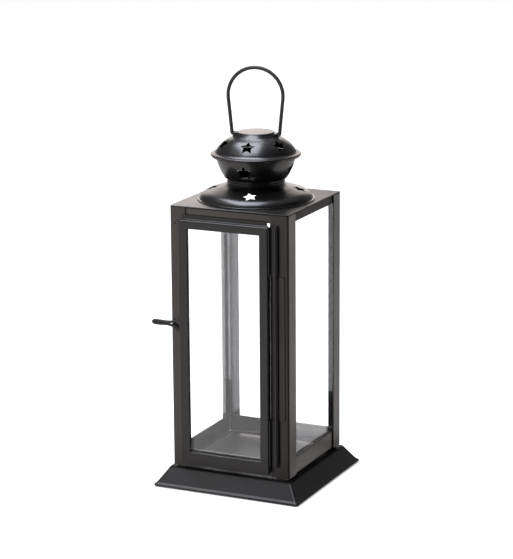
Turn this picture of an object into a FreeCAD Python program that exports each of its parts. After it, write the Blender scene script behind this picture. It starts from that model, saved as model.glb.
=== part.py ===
import FreeCAD, Part
import math
import os

# A small candle lantern of black sheet steel with glass sides.
# A pressed plinth carries four angle posts, which rails, glass panes and a roof
# plate tie together. A spun chimney with punched stars stands on the roof, a wire
# bail hangs from its cap, and the glazed door swings on a long pin at the front right.
# Lengths are in millimetres. +Z is up, the door faces -Y and X runs along it.
# The origin is the centre of the plinth's underside.

V = FreeCAD.Vector
ORIGIN = V(0, 0, 0)
UP = V(0, 0, 1)

# Driving dimensions
body_width = 74.6
body_height = 155.4
bottom_rail_width = 10.6
top_rail_width = 5.8
fit_gap = 0.05
overrun = 1.0

# Plinth: a square pan of pressed sheet, open below, with a rolled lip
plinth_width = 93.0
plinth_height = 11.5
plinth_sheet = 0.8
plinth_ledge = 1.65
plinth_crease_inset = 1.6
plinth_crease_height = 2.8
plinth_lip_height = 1.3
plinth_hem_inset = 0.5
plinth_corner = 1.3

# Posts: angles of folded sheet, with tabs that go through the plinth
post_lift = 1.3
post_sheet = 0.7
post_bend = 1.3
latch_flange = 9.8
hinge_flange = 11.5
side_flange = 10.0
back_flange = 8.5
tab_width = 5.6
tab_edge = 2.5
tab_foot = 3.0
tab_drop_gap = 0.15
tab_slot_gap = 0.15
weld_radius = 0.9
weld_depth = 0.3
weld_edge = 3.8
weld_drop = 10.2

# Rails: folded sheet with a hem at the window and a flange at the far edge
rail_sheet = 0.6
rail_hem = 3.5
rail_flange = 4.0

# Roof plate
roof_sheet = 0.7
flue_margin = 10.3

# Glass panes and the bent clips that hold them
glass_thickness = 1.8
glass_end_gap = 0.15
clip_sheet = 0.5
clip_top_half = 8.2
clip_base_half = 11.5
clip_low_height = 6.8
clip_high_height = 3.6

# Door: four folded channels with a glass pane
door_left_margin = 6.5
door_right_margin = 11.3
door_bottom_margin = 2.4
door_top_margin = 7.4
door_depth = 3.3
door_sheet = 0.6
door_left_stile = 6.4
door_right_stile = 5.7
door_top_rail = 5.1
door_bottom_rail = 7.2
door_back_gap = 0.3
door_return = 1.5
door_head_lip = 2.5
door_head_lip_inset = 1.8
door_clip_offset = 14.0
door_clip_half = 4.0
door_clip_height = 3.4

# Hinge: a long pin with one post knuckle between two door knuckles
pin_radius = 0.6
pin_clearance = 0.05
pin_overhang = 0.5
pin_offset = 4.0
leaf_sheet = 0.5
post_leaf_width = 5.0
lower_leaf_rise = 4.3
lower_leaf_length = 27.7
upper_leaf_length = 28.1
knuckle_gap = 0.3
leaf_return = 2.6

# Door pull: a hairpin of wire welded to the door's left flange
pull_wire_radius = 0.85
pull_rise = 83.4
pull_length = 18.3
pull_pinch = 5.5
pull_spread_up = 3.4
pull_spread_down = 4.6
pull_strand_gap = 0.15
pull_bend = 4.0

# Chimney: hood, neck ring, bowl and cap, all spun from thin sheet
spun_sheet = 0.5
hood_height = 11.3
hood_foot_margin = 2.5
hood_foot_flat = 1.8
neck_radius = 16.3
ring_radius = 0.6
ring_drop = 0.95
bowl_lift = 0.75
bowl_depth = 12.7
bowl_floor_radius = 18.2
bowl_flange = 2.1
bowl_collar = 2.6
cap_rim_radius = 26.25
cap_bead_radius = 0.75
cap_rim_overhang = 0.5
cap_dome_height = 10.6
cap_shoulder_radius = 14.2
cap_boss_radius = 10.6

# Outlines of the spun pieces: how far out and how far up or down each point lies
hood_shares = [
    (0, 1), (0, 0.86), (0.042, 0.79), (0.117, 0.72), (0.293, 0.635), (0.476, 0.545),
    (0.658, 0.455), (0.802, 0.37), (0.905, 0.265), (0.96, 0.17),
]
bowl_shares = [
    (1, 0), (0.97, 0.12), (0.87, 0.28), (0.72, 0.44), (0.53, 0.6), (0.31, 0.76),
    (0.13, 0.875), (0, 0.95), (-0.2, 1),
]
cap_boss_shares = [(-0.14, 0), (0.015, 0.05), (0.14, 0.235), (0.585, 0.78)]
cap_dome_shares = [(0, 0), (0.17, 0.09), (0.32, 0.2), (0.48, 0.34), (0.63, 0.52), (0.74, 0.69), (0.84, 0.85)]

# Punched stars: how far out each ring of stars lies, and how its pieces are turned
star_radius = 4.05
star_waist_share = 0.5
star_depth = 3.0
hood_star_share = 0.54
hood_star_count = 4
hood_star_spin_angle = 16.0
hood_turn_angle = 16.8
bowl_star_share = 0.59
bowl_star_count = 4
bowl_star_spin_angle = 0.0
bowl_turn_angle = 5.5
cap_star_share = 0.44
cap_star_count = 6
cap_turn_angle = 10.5

# Bail: a loop of wire hooked into two eyelets in the cap's boss
bail_wire_radius = 1.05
bail_gap = 0.3
bail_reach = 39.9
bail_arch_radius = 16.25
bail_lean_angle = 5.7
bail_hook_radius = 1.2
bail_end_inset = 0.8
eyelet_wall = 0.5
eyelet_clearance = 0.1
eyelet_root = 0.3
eyelet_length = 2.4

# Planes and edges that several pieces share
half_body = body_width / 2
body_bottom = plinth_height + post_lift
roof_top = body_bottom + body_height
roof_under = roof_top - roof_sheet
frame_top = roof_under - fit_gap
window_bottom = body_bottom + bottom_rail_width
window_top = roof_top - top_rail_width
post_inside = half_body - post_sheet
rail_face = post_inside - fit_gap
hem_depth = 2 * rail_sheet
glass_face = rail_face - hem_depth - fit_gap
glass_back = glass_face - glass_thickness
clip_back = glass_back - fit_gap - clip_sheet
glass_low = body_bottom + rail_sheet + clip_sheet + 2 * fit_gap
glass_high = frame_top - rail_sheet - clip_sheet - 2 * fit_gap
tab_near = half_body - tab_edge
tab_far = tab_near - tab_width

# Door planes, as distances in front of the lantern's middle
door_back = half_body + door_back_gap
door_front = door_back + door_depth
door_return_back = door_front - door_return
door_glass_front = door_return_back - fit_gap
door_glass_back = door_glass_front - glass_thickness

# Door edges
door_left = -half_body + door_left_margin
door_right = half_body - door_right_margin
door_bottom = body_bottom + door_bottom_margin
door_top = roof_top - door_top_margin
opening_left = door_left + door_left_stile
opening_right = door_right - door_right_stile
opening_bottom = door_bottom + door_bottom_rail
opening_top = door_top - door_top_rail
door_clip_low = door_bottom + door_sheet + fit_gap
door_clip_high = door_top - door_sheet - fit_gap

# Hinge places
hinge_barrel = pin_radius + pin_clearance + leaf_sheet
hinge_x = door_right + pin_offset
hinge_y = -(door_back + hinge_barrel)
lower_leaf_bottom = door_bottom + lower_leaf_rise
lower_leaf_top = lower_leaf_bottom + lower_leaf_length
upper_leaf_bottom = door_top - upper_leaf_length

# Chimney levels and radii
flue_radius = half_body - flue_margin
bowl_flange_radius = cap_rim_radius - cap_bead_radius - cap_rim_overhang
bowl_mouth_radius = bowl_flange_radius - bowl_flange
hood_foot_radius = half_body - hood_foot_margin
hood_wall_radius = hood_foot_radius - hood_foot_flat
hood_base = roof_top + fit_gap
hood_top = hood_base + hood_height
bowl_floor = hood_top + bowl_lift
bowl_rim = bowl_floor + bowl_depth
cap_base = bowl_rim + spun_sheet + fit_gap
cap_shoulder = cap_base + cap_dome_height
bail_pivot = cap_shoulder + bail_gap + bail_wire_radius
cap_top = bail_pivot + bail_wire_radius + bail_gap + spun_sheet


def box(x0, x1, y0, y1, z0, z1):
    """A block between two corners, in either order along each axis."""
    low = V(min(x0, x1), min(y0, y1), min(z0, z1))
    return Part.makeBox(abs(x1 - x0), abs(y1 - y0), abs(z1 - z0), low)


def prism(outline, start, length):
    """A closed wire filled and pushed from start along length."""
    face = Part.Face(outline)
    face.translate(start)
    return face.extrude(length)


def closed(points):
    """A closed wire through points."""
    return Part.makePolygon(points + points[:1])


def line(start, end):
    """A straight edge."""
    return Part.LineSegment(start, end).toShape()


def arc(start, middle, end):
    """A round edge through three points."""
    return Part.Arc(start, middle, end).toShape()


def turned(shape, degrees):
    """A copy turned about the lantern's upright axis."""
    copy = shape.copy()
    copy.rotate(ORIGIN, UP, degrees)
    return copy


def rounded_square(half, radius, height):
    """A square wire about the axis, with rounded corners."""
    flat = half - radius
    nip = half - radius * (1 - math.sqrt(0.5))
    edges = []
    for quarter in range(4):
        side = line(V(-flat, -half, height), V(flat, -half, height))
        bend = arc(V(flat, -half, height), V(nip, -nip, height), V(half, -flat, height))
        edges += [turned(side, 90 * quarter), turned(bend, 90 * quarter)]
    return Part.Wire(edges)


def inset(points, gap):
    """The line through points moved by gap to its right, with mitred corners."""
    moved = []
    last = len(points) - 1
    for i, (x, y) in enumerate(points):
        normals = []
        for a, b in ((i - 1, i), (i, i + 1)):
            if a >= 0 and b <= last:
                dx = points[b][0] - points[a][0]
                dy = points[b][1] - points[a][1]
                length = math.hypot(dx, dy)
                normals.append((dy / length, -dx / length))
        first = normals[0]
        second = normals[-1]
        reach = gap / (1 + first[0] * second[0] + first[1] * second[1])
        moved.append((x + reach * (first[0] + second[0]), y + reach * (first[1] + second[1])))
    return moved


def curve_edges(points, corners):
    """Edges through points in the XZ plane, smooth except at the numbered corners."""
    edges = []
    stops = [0] + corners + [len(points) - 1]
    for start, end in zip(stops, stops[1:]):
        run = [V(x, 0, z) for x, z in points[start:end + 1]]
        if len(run) == 2:
            edges.append(line(run[0], run[1]))
        else:
            curve = Part.BSplineCurve()
            curve.interpolate(run)
            edges.append(curve.toShape())
    return edges


def spun_shell(outside, corners):
    """Sheet of even thickness turned about the axis, listed from its top down."""
    inside = inset(outside, spun_sheet)
    edges = curve_edges(outside, corners) + curve_edges(inside, corners)
    for i in (0, -1):
        edges.append(line(V(outside[i][0], 0, outside[i][1]), V(inside[i][0], 0, inside[i][1])))
    face = Part.Face(Part.Wire(Part.__sortEdges__(edges)))
    return face.revolve(ORIGIN, UP, 360)


def seat_on(outline, radius):
    """Height of an outline at a radius, and how far its face looks up there, in degrees."""
    for (x0, z0), (x1, z1) in zip(outline, outline[1:]):
        if min(x0, x1) <= radius < max(x0, x1):
            height = z0 + (z1 - z0) * (radius - x0) / (x1 - x0)
            tilt = math.degrees(math.atan2(x1 - x0, z0 - z1))
            return height, tilt
    raise ValueError("the outline doesn't pass this radius")


def punched(shell, outline, radius, count, spin, turn):
    """A shell with a ring of five-pointed stars cut square through its sheet."""
    height, tilt = seat_on(outline, radius)
    points = []
    for i in range(10):
        angle = math.radians(90 + 36 * i)
        reach = star_radius if i % 2 == 0 else star_radius * star_waist_share
        points.append(V(reach * math.cos(angle), 0, reach * math.sin(angle)))
    punch = prism(closed(points), V(0, -star_depth, 0), V(0, 2 * star_depth, 0))
    punch.rotate(ORIGIN, V(0, 1, 0), -spin)
    punch.rotate(ORIGIN, V(1, 0, 0), -tilt)
    punch.translate(V(0, -radius, height))
    for i in range(count):
        shell = shell.cut(turned(punch, turn + 360 / count * i))
    return shell


def swept(edges, radius):
    """Round wire along a path that starts in the direction of its first edge."""
    path = Part.Wire(edges)
    first = path.Edges[0]
    start = first.valueAt(first.FirstParameter)
    heading = first.tangentAt(first.FirstParameter)
    section = Part.Wire(Part.makeCircle(radius, start, heading))
    return path.makePipeShell([section], True, True)


def plinth():
    """Pan with a flat top, a sloping skirt and a rolled lip; slots take the post tabs."""
    half = plinth_width / 2
    outside = [
        (half_body + plinth_ledge, plinth_height),
        (half - plinth_crease_inset, plinth_crease_height),
        (half, plinth_lip_height),
        (half - plinth_hem_inset, 0),
    ]
    inside = inset([(0, plinth_height)] + outside, plinth_sheet)[1:]
    inside[-1] = (inside[-1][0], -overrun)
    inner_corner = plinth_corner - plinth_sheet
    skin = Part.makeLoft([rounded_square(r, plinth_corner, z) for r, z in outside], True, True)
    hollow = Part.makeLoft([rounded_square(r, inner_corner, z) for r, z in inside], True, True)
    pan = skin.cut(hollow)
    gap = tab_slot_gap
    for sx in (-1, 1):
        for sy in (-1, 1):
            slot = box(sx * (tab_near + gap), sx * (tab_far - gap), sy * (half_body + gap),
                       sy * (post_inside - gap), plinth_height - plinth_sheet - overrun,
                       plinth_height + overrun)
            pan = pan.cut(slot)
    return pan


def post(sx, sy):
    """Angle post at one corner, with a dropped tab that is bent in under the plinth."""
    flange_x = back_flange if sy > 0 else latch_flange if sx < 0 else hinge_flange
    bend = post_bend
    thin = post_sheet
    nip = bend * (1 - math.sqrt(0.5))
    inner_nip = bend - (bend - thin) * math.sqrt(0.5)

    def at(dx, dy):
        return V(sx * (half_body - dx), sy * (half_body - dy), 0)

    outline = [
        line(at(flange_x, 0), at(bend, 0)),
        arc(at(bend, 0), at(nip, nip), at(0, bend)),
        line(at(0, bend), at(0, side_flange)),
        line(at(0, side_flange), at(thin, side_flange)),
        line(at(thin, side_flange), at(thin, bend)),
        arc(at(thin, bend), at(inner_nip, inner_nip), at(bend, thin)),
        line(at(bend, thin), at(flange_x, thin)),
        line(at(flange_x, thin), at(flange_x, 0)),
    ]
    angle = prism(Part.Wire(outline), V(0, 0, body_bottom), V(0, 0, frame_top - body_bottom))
    foot_top = plinth_height - plinth_sheet - tab_drop_gap
    foot_low = foot_top - thin
    drop = box(sx * tab_near, sx * tab_far, sy * half_body, sy * post_inside, foot_low, body_bottom)
    foot = box(sx * tab_near, sx * tab_far, sy * half_body, sy * (half_body - tab_foot), foot_low, foot_top)
    solid = angle.fuse([drop, foot]).removeSplitter()
    if sx < 0 and sy < 0:
        ball = (weld_radius ** 2 + weld_depth ** 2) / (2 * weld_depth)
        centre = V(-half_body + weld_edge, -half_body + weld_depth - ball, roof_top - weld_drop)
        solid = solid.cut(Part.makeSphere(ball, centre))
    return solid


def rail(window_edge, far_edge):
    """Front rail: face, hem at the window edge and flange at the far edge, with mitred ends."""
    way = 1 if far_edge > window_edge else -1
    sheet = rail_sheet
    face = -rail_face
    hem = face + hem_depth
    flange = face + rail_flange
    crown = window_edge + way * sheet
    hem_end = window_edge + way * rail_hem
    turn = far_edge - way * sheet
    mid = face + sheet

    def at(y, z):
        return V(0, y, z)

    outline = [
        line(at(face, far_edge), at(face, crown)),
        arc(at(face, crown), at(mid, window_edge), at(hem, crown)),
        line(at(hem, crown), at(hem, hem_end)),
        line(at(hem, hem_end), at(mid, hem_end)),
        line(at(mid, hem_end), at(mid, turn)),
        line(at(mid, turn), at(flange, turn)),
        line(at(flange, turn), at(flange, far_edge)),
        line(at(flange, far_edge), at(face, far_edge)),
    ]
    bar = prism(Part.Wire(outline), V(-half_body, 0, 0), V(body_width, 0, 0))
    mitre_gap = post_bend - post_sheet + fit_gap
    low = min(window_edge, far_edge) - overrun
    high = max(window_edge, far_edge) + overrun
    wedge = closed([V(0, -mitre_gap, 0), V(-half_body, -mitre_gap - half_body, 0),
                    V(half_body, -mitre_gap - half_body, 0)])
    return bar.common(prism(wedge, V(0, 0, low), V(0, 0, high - low)))


def roof_plate():
    """Flat square plate with a round flue hole."""
    plate = prism(rounded_square(half_body, post_bend, 0), V(0, 0, roof_under), V(0, 0, roof_sheet))
    hole = Part.makeCylinder(flue_radius, roof_sheet + 2 * overrun, V(0, 0, roof_under - overrun))
    return plate.cut(hole)


def clip(half_base, half_top, front, back, foot_z, way, height):
    """Bent clip behind glass: a foot on a flange and a tapered upright that rises way."""
    sole = box(-half_base, half_base, front, back, foot_z, foot_z + way * clip_sheet)
    leaf = closed([V(-half_base, 0, foot_z), V(half_base, 0, foot_z),
                   V(half_top, 0, foot_z + way * height), V(-half_top, 0, foot_z + way * height)])
    upright = prism(leaf, V(0, back - clip_sheet, 0), V(0, clip_sheet, 0))
    return sole.fuse(upright).removeSplitter()


def pane():
    """Glass behind one window, drawn at the front."""
    half = glass_back - glass_end_gap
    return box(-half, half, -glass_face, -glass_back, glass_low, glass_high)


def pane_clips():
    """Clips at the foot and head of one pane, drawn at the front."""
    seat = rail_sheet + fit_gap
    clips = []
    for way, foot, height in ((1, body_bottom + seat, clip_low_height),
                              (-1, frame_top - seat, clip_high_height)):
        clips.append(clip(clip_base_half, clip_top_half, -glass_face, -clip_back, foot, way, height))
    return Part.makeCompound(clips)


def door_stile(outer, inner):
    """Upright channel between the door's rails."""
    way = 1 if inner > outer else -1
    low = opening_bottom + fit_gap
    high = opening_top - fit_gap
    face = box(outer, inner, -door_front, -door_front + door_sheet, low, high)
    flange = box(outer, outer + way * door_sheet, -door_front, -door_back, low, high)
    lip = box(inner, inner - way * door_sheet, -door_front, -door_return_back, low, high)
    return face.fuse([flange, lip]).removeSplitter()


def door_rail(outer, inner):
    """Cross channel over the door's full width, with closed ends."""
    way = 1 if inner > outer else -1
    face = box(door_left, door_right, -door_front, -door_front + door_sheet, outer, inner)
    left = box(door_left, door_left + door_sheet, -door_front, -door_back, outer, inner)
    right = box(door_right - door_sheet, door_right, -door_front, -door_back, outer, inner)
    flange = box(door_left, door_right, -door_front, -door_back, outer, outer + way * door_sheet)
    lip = box(opening_left, opening_right, -door_front, -door_return_back, inner, inner - way * door_sheet)
    return face.fuse([left, right, flange, lip]).removeSplitter()


def door_lip():
    """Lip that stands up behind the door's head and covers the gap under the lantern's top rail."""
    return box(door_left + door_head_lip_inset, door_right - door_head_lip_inset,
               -door_back - door_sheet, -door_back, door_top - door_sheet, door_top + door_head_lip)


def door_glass():
    """Pane inside the door's channels."""
    side = door_sheet + glass_end_gap
    end = clip_sheet + fit_gap
    return box(door_left + side, door_right - side, -door_glass_front, -door_glass_back,
               door_clip_low + end, door_clip_high - end)


def door_clips():
    """Four small clips behind the door glass, on its top and bottom flanges."""
    middle = (door_left + door_right) / 2
    back = -door_glass_back + fit_gap + clip_sheet
    clips = []
    for side in (-1, 1):
        for way, foot in ((1, door_clip_low), (-1, door_clip_high)):
            one = clip(door_clip_half, door_clip_half / 2, -door_glass_front, back, foot, way,
                       door_clip_height)
            one.translate(V(middle + side * door_clip_offset, 0, 0))
            clips.append(one)
    return Part.makeCompound(clips)


def knuckle(low, high, leaf):
    """A leaf of sheet rolled round the pin."""
    barrel = Part.makeCylinder(hinge_barrel, high - low, V(hinge_x, hinge_y, low))
    bore = Part.makeCylinder(pin_radius + pin_clearance, high - low + 2 * overrun,
                             V(hinge_x, hinge_y, low - overrun))
    return barrel.fuse(leaf).removeSplitter().cut(bore)


def door_leaf(low, high):
    """Door leaf: from behind the pin to the door's right flange, and forward along it."""
    back = hinge_y + hinge_barrel
    left = door_right + fit_gap
    web = box(left, hinge_x, back - leaf_sheet, back, low, high)
    side = box(left, left + leaf_sheet, back - leaf_return, back, low, high)
    return knuckle(low, high, web.fuse(side))


def post_leaf():
    """Post leaf: flat on the front right post and rolled round the middle of the pin."""
    low = lower_leaf_top + knuckle_gap
    high = upper_leaf_bottom - knuckle_gap
    back = -half_body - fit_gap
    return knuckle(low, high, box(hinge_x, hinge_x + post_leaf_width, back - leaf_sheet, back, low, high))


def hinge_pin():
    """Long pin with rounded ends."""
    low = lower_leaf_bottom - pin_overhang
    high = door_top + pin_overhang
    pin = Part.makeCylinder(pin_radius, high - low, V(hinge_x, hinge_y, low))
    ends = [e for e in pin.Edges if isinstance(e.Curve, Part.Circle)]
    return pin.makeFillet(pin_radius / 2, ends)


def door_pull():
    """Hairpin of wire lying flat against itself, with its legs spread at the door."""
    y = -(door_front + door_back) / 2
    z = door_bottom + pull_rise
    strand = pull_wire_radius + pull_strand_gap / 2
    root = door_left + pull_wire_radius
    pinch = door_left - pull_pinch
    turn = door_left - pull_length + pull_wire_radius + strand

    def at(x, rise):
        return V(x, y, z + rise)

    def leg(side, spread):
        slope = math.atan2(spread - strand, door_left - pinch)
        trim = pull_bend * math.tan(slope / 2)
        x_in = pinch + trim * math.cos(slope)
        rise_in = side * (strand + trim * math.sin(slope))
        x_mid = pinch - trim + pull_bend * math.sin(slope / 2)
        rise_mid = side * (strand + pull_bend * (1 - math.cos(slope / 2)))
        return [
            line(at(root, side * (spread + pull_wire_radius * math.tan(slope))), at(x_in, rise_in)),
            arc(at(x_in, rise_in), at(x_mid, rise_mid), at(pinch - trim, side * strand)),
            line(at(pinch - trim, side * strand), at(turn, side * strand)),
        ]

    loop = arc(at(turn, strand), at(turn - strand, 0), at(turn, -strand))
    edges = leg(1, pull_spread_up) + [loop] + leg(-1, pull_spread_down)
    wire = swept(Part.__sortEdges__(edges), pull_wire_radius)
    return wire.cut(box(door_left - fit_gap, door_right, -door_front, 0, door_bottom, door_top))


def hood():
    """Base hood of the chimney: flat foot, domed shoulder and upright neck."""
    wide = hood_wall_radius - neck_radius
    outside = [(neck_radius + out * wide, hood_base + up * hood_height) for out, up in hood_shares]
    outside.append((hood_wall_radius, hood_base + spun_sheet))
    outside.append((hood_foot_radius, hood_base + spun_sheet))
    shell = spun_shell(outside, [1, len(hood_shares)])
    return punched(shell, outside, neck_radius + hood_star_share * wide, hood_star_count,
                   hood_star_spin_angle, hood_turn_angle)


def neck_ring():
    """Bead that hides the joint of hood and bowl."""
    z = hood_top - ring_drop
    inner = neck_radius + fit_gap
    low = V(inner, 0, z - ring_radius)
    high = V(inner, 0, z + ring_radius)
    section = [line(low, high), arc(high, V(inner + ring_radius, 0, z), low)]
    return Part.Face(Part.Wire(section)).revolve(ORIGIN, UP, 360)


def bowl():
    """Flaring bowl with a collar inside the hood's neck and a flange under the cap."""
    flare = bowl_mouth_radius - bowl_floor_radius
    collar = neck_radius - spun_sheet - fit_gap
    outside = [(bowl_flange_radius, bowl_rim)]
    outside += [(bowl_floor_radius + out * flare, bowl_rim - down * bowl_depth) for out, down in bowl_shares]
    outside += [(collar, bowl_floor), (collar, bowl_floor - bowl_collar)]
    shell = spun_shell(outside, [1, len(bowl_shares), len(bowl_shares) + 1])
    return punched(shell, outside, bowl_floor_radius + bowl_star_share * flare, bowl_star_count,
                   bowl_star_spin_angle, bowl_turn_angle)


def cap():
    """Cap with a rolled rim, a dome with stars and a flat-topped boss with two eyelets."""
    bead_r = cap_rim_radius - cap_bead_radius
    bead_z = cap_base + cap_bead_radius
    boss_wide = cap_shoulder_radius - cap_boss_radius
    boss_high = cap_top - cap_shoulder
    dome_wide = bead_r - cap_shoulder_radius
    dome_high = cap_shoulder - bead_z
    boss = [(cap_boss_radius + out * boss_wide, cap_top - down * boss_high) for out, down in cap_boss_shares]
    dome = [(cap_shoulder_radius + out * dome_wide, cap_shoulder - down * dome_high)
            for out, down in cap_dome_shares]
    outside = [(0, cap_top)] + boss + dome + [(bead_r, bead_z + cap_bead_radius - fit_gap)]
    shell = spun_shell(outside, [1, len(boss) - 1, len(boss)])
    shell = shell.fuse(Part.makeTorus(bead_r, cap_bead_radius, V(0, 0, bead_z), UP))
    bore = bail_wire_radius + eyelet_clearance
    root = V(cap_boss_radius + eyelet_root, 0, bail_pivot)
    out = V(1, 0, 0)
    for side in (0, 180):
        eyelet = Part.makeCylinder(bore + eyelet_wall, eyelet_length - eyelet_root, root, out)
        shell = shell.fuse(turned(eyelet, side))
    for side in (0, 180):
        hole = Part.makeCylinder(bore, cap_shoulder_radius - root.x + 2 * overrun, root - out * overrun, out)
        shell = shell.cut(turned(hole, side))
    shell = turned(shell.removeSplitter(), cap_turn_angle)
    return punched(shell, outside, cap_shoulder_radius + cap_star_share * dome_wide, cap_star_count,
                   0, cap_turn_angle)


def bail():
    """Wire loop: a round arch, two leaning legs and hooked ends in the eyelets."""
    lean = math.radians(bail_lean_angle)
    arch = bail_arch_radius
    hook = bail_hook_radius
    arch_z = bail_pivot + bail_reach - bail_wire_radius - arch
    spring = V(arch * math.cos(lean), 0, arch_z - arch * math.sin(lean))
    knee_z = bail_pivot + hook * (1 - math.sin(lean))
    knee = V(spring.x - (spring.z - knee_z) * math.tan(lean), 0, knee_z)
    centre = V(knee.x - hook * math.cos(lean), 0, knee_z + hook * math.sin(lean))
    swing = lean + (math.radians(90) - lean) / 2
    middle = V(centre.x + hook * math.cos(swing), 0, centre.z - hook * math.sin(swing))
    heel = V(centre.x, 0, bail_pivot)
    end = V(cap_boss_radius - bail_end_inset, 0, bail_pivot)

    def other(point):
        return V(-point.x, 0, point.z)

    edges = [
        line(end, heel),
        arc(heel, middle, knee),
        line(knee, spring),
        arc(spring, V(0, 0, arch_z + arch), other(spring)),
        line(other(spring), other(knee)),
        arc(other(knee), other(middle), other(heel)),
        line(other(heel), other(end)),
    ]
    return turned(swept(edges, bail_wire_radius), cap_turn_angle)


sides = ["front", "right", "back", "left"]
corners = {"front_left": (-1, -1), "front_right": (1, -1), "back_left": (-1, 1), "back_right": (1, 1)}

parts = {"plinth": plinth(), "roof_plate": roof_plate()}
for name, (sx, sy) in corners.items():
    parts["post_" + name] = post(sx, sy)

bottom_rail = rail(window_bottom, body_bottom)
top_rail = rail(window_top, frame_top)
glass_pane = pane()
glass_clips = pane_clips()
for quarter, name in enumerate(sides):
    angle = 90 * quarter
    parts["bottom_rail_" + name] = turned(bottom_rail, angle)
    parts["top_rail_" + name] = turned(top_rail, angle)
    if name != "front":
        parts["glass_" + name] = turned(glass_pane, angle)
        parts["glass_clips_" + name] = turned(glass_clips, angle)

parts["door_stile_left"] = door_stile(door_left, opening_left)
parts["door_stile_right"] = door_stile(door_right, opening_right)
parts["door_rail_top"] = door_rail(door_top, opening_top).fuse(door_lip()).removeSplitter()
parts["door_rail_bottom"] = door_rail(door_bottom, opening_bottom)
parts["door_glass"] = door_glass()
parts["door_glass_clips"] = door_clips()
parts["door_pull"] = door_pull()
parts["hinge_leaf_upper"] = door_leaf(upper_leaf_bottom, door_top)
parts["hinge_leaf_lower"] = door_leaf(lower_leaf_bottom, lower_leaf_top)
parts["hinge_leaf_post"] = post_leaf()
parts["hinge_pin"] = hinge_pin()

parts["chimney_hood"] = hood()
parts["neck_ring"] = neck_ring()
parts["chimney_bowl"] = bowl()
parts["chimney_cap"] = cap()
parts["bail_handle"] = bail()

os.makedirs("parts", exist_ok=True)
for name, shape in parts.items():
    for solid in shape.Solids:
        if not solid.isValid():
            print("not valid:", name)
    shape.exportStep("parts/" + name + ".step")
    size = shape.BoundBox
    print(name, len(shape.Solids), "solids", round(shape.Volume, 1), "mm3, top at", round(size.ZMax, 2))
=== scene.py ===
import bpy
import math
from mathutils import Matrix, Vector


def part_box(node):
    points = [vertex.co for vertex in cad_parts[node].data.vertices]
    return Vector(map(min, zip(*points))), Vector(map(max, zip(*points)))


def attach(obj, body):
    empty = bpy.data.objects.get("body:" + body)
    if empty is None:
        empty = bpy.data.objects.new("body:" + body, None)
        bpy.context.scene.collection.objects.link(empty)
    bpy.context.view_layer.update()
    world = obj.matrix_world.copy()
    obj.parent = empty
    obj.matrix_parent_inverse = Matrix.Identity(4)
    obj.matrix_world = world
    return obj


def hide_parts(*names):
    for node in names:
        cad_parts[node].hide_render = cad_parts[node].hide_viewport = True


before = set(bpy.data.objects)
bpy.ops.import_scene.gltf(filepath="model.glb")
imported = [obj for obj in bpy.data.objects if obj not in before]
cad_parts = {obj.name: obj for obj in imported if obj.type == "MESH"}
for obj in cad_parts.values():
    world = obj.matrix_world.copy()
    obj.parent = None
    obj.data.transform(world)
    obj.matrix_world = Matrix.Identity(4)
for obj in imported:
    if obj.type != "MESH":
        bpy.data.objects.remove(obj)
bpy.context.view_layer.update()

# Camera: a long lens a little above the lantern and to the right of its door,
# turned and shifted as the lantern's own edges ask for.
camera_place = Vector((0.5679, -1.2115, 0.4467))
camera_aim = Vector((0, 0, 0.1137))
camera_roll = math.radians(-0.4)
look = (camera_aim - camera_place).to_track_quat("-Z", "Y").to_matrix()
look = look @ Matrix.Rotation(camera_roll, 3, "Z")
bpy.ops.object.camera_add(location=camera_place, rotation=look.to_euler())
camera = bpy.context.object
camera.data.lens = 151.6
camera.data.shift_x = -0.0006
camera.data.shift_y = 0.017
bpy.context.scene.camera = camera
bpy.context.scene.view_settings.view_transform = "Standard"


# Studio: a white background that shows as white, with a lit backdrop behind the
# lantern, dim sides, a lighter ceiling and one broad soft light overhead.
def add_node(tree, kind, inputs, output=0, **settings):
    """A node whose inputs get fixed values or other nodes' outputs. Gives one of its outputs."""
    node = tree.nodes.new("ShaderNode" + kind)
    for name, setting in settings.items():
        setattr(node, name, setting)
    for name, value in inputs.items():
        if isinstance(value, bpy.types.NodeSocket):
            tree.links.new(value, node.inputs[name])
        else:
            node.inputs[name].default_value = value
    return node.outputs[output]


def split(tree, vector):
    """The X, Y and Z of a vector."""
    return add_node(tree, "SeparateXYZ", {"Vector": vector}).node.outputs[:]


def reckon(tree, operation, *values, clamp=False):
    """One sum on numbers or other nodes' outputs."""
    return add_node(tree, "Math", dict(enumerate(values)), operation=operation, use_clamp=clamp)


def share(tree, value, low, high, start=0, end=1, blend="LINEAR"):
    """A value between low and high, turned into one between start and end."""
    limits = {"Value": value, "From Min": low, "From Max": high, "To Min": start, "To Max": end}
    return add_node(tree, "MapRange", limits, interpolation_type=blend)


def colour_stops(tree, value, *stops):
    """Colours at some values, blended in between."""
    blend = add_node(tree, "ValToRGB", {"Fac": value}, "Color")
    elements = blend.node.color_ramp.elements
    elements.remove(elements[1])
    elements[0].position = stops[0][0]
    elements[0].color = (*stops[0][1], 1)
    for position, colour in stops[1:]:
        stop = elements.new(position)
        stop.color = (*colour, 1)
    return blend


def seen_directly(tree):
    """1 for what the camera sees, straight or through glass, and 0 for all other light."""
    straight = add_node(tree, "LightPath", {}, "Is Camera Ray")
    through_glass = add_node(tree, "LightPath", {}, "Is Transmission Ray")
    return reckon(tree, "MAXIMUM", straight, through_glass)


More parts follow.
